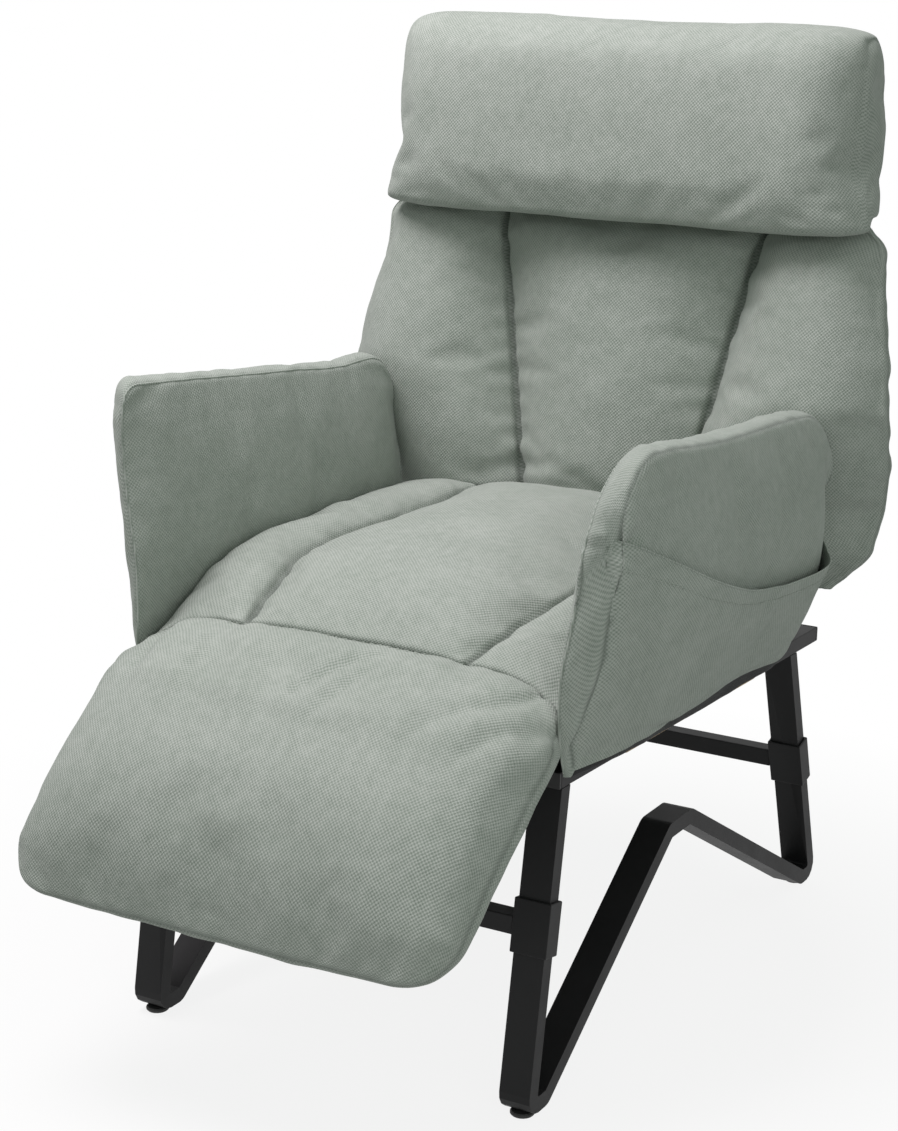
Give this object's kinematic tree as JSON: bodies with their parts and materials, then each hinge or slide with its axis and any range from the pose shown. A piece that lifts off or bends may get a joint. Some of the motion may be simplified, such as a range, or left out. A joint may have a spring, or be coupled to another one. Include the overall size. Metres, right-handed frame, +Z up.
{
  "type": "lounge recliner",
  "caption": "Upholstered lounge recliner with a head pillow, channelled back, pocketed arms and a hinged footrest, on a bent flat-tube steel base.",
  "frame": {"origin": "on the floor, under the middle of the chair's overall box", "axes": "+Z up, -Y the way the sitter faces, +X the sitter's left"},
  "size_m": [0.6684, 0.9354, 1.0082],
  "materials": {
    "black_steel": "matte black powder coat",
    "bare_steel": "plain",
    "black_plastic": "matte",
    "sage_fabric": "coarse twill weave",
    "black_webbing": "woven webbing",
    "plywood": "raw"
  },
  "bodies": {
    "base": {"left_leg_frame": "black_steel", "right_leg_frame": "black_steel", "left_top_rail": "black_steel", "right_top_rail": "black_steel", "left_rail_front_plug": "black_plastic", "left_rail_rear_plug": "black_plastic", "right_rail_front_plug": "black_plastic", "right_rail_rear_plug": "black_plastic", "front_left_sleeve": "black_steel", "front_right_sleeve": "black_steel", "rear_left_sleeve": "black_steel", "rear_right_sleeve": "black_steel", "front_crossbar": "black_steel", "rear_crossbar": "black_steel", "front_left_glide": "black_plastic", "front_right_glide": "black_plastic", "rear_left_glide": "black_plastic", "rear_right_glide": "black_plastic", "seat_left_tube": "bare_steel", "seat_right_tube": "bare_steel", "seat_front_tube": "bare_steel", "seat_rear_tube": "bare_steel", "front_left_seat_bolt": "bare_steel", "front_right_seat_bolt": "bare_steel", "rear_left_seat_bolt": "bare_steel", "rear_right_seat_bolt": "bare_steel", "seat_strap_1": "black_webbing", "seat_strap_2": "black_webbing", "seat_strap_3": "black_webbing", "seat_cushion": "sage_fabric", "left_arm_pad": "sage_fabric", "right_arm_pad": "sage_fabric", "left_arm_board": "plywood", "right_arm_board": "plywood", "left_arm_spacer": "bare_steel", "right_arm_spacer": "bare_steel", "left_arm_pocket": "sage_fabric", "right_arm_pocket": "sage_fabric", "left_recline_seat_leaf": "bare_steel", "right_recline_seat_leaf": "bare_steel", "left_footrest_seat_leaf": "bare_steel", "right_footrest_seat_leaf": "bare_steel"},
    "back": {"back_frame": "bare_steel", "back_strap_1": "black_webbing", "back_strap_2": "black_webbing", "back_cushion": "sage_fabric", "left_recline_back_leaf": "bare_steel", "right_recline_back_leaf": "bare_steel", "left_head_back_leaf": "bare_steel", "right_head_back_leaf": "bare_steel"},
    "head": {"head_frame": "bare_steel", "head_pillow": "sage_fabric", "left_head_leaf": "bare_steel", "right_head_leaf": "bare_steel"},
    "footrest": {"footrest_frame": "bare_steel", "footrest_cushion": "sage_fabric", "left_footrest_leaf": "bare_steel", "right_footrest_leaf": "bare_steel"}
  },
  "joints": [
    {"name": "recline", "type": "hinge", "parent": "base", "child": "back", "pos_m": [0, 0.35278, 0.44235], "axis": [-1, 0, 0], "range_deg": [0, 45]},
    {"name": "footrest_tilt", "type": "hinge", "parent": "base", "child": "footrest", "pos_m": [0, -0.24179, 0.40014], "axis": [-1, 0, 0], "range_deg": [-15, 40]},
    {"name": "head_tilt", "type": "hinge", "parent": "back", "child": "head", "pos_m": [0, 0.4041, 0.82811], "axis": [1, 0, 0], "range_deg": [-10, 15]}
  ]
}
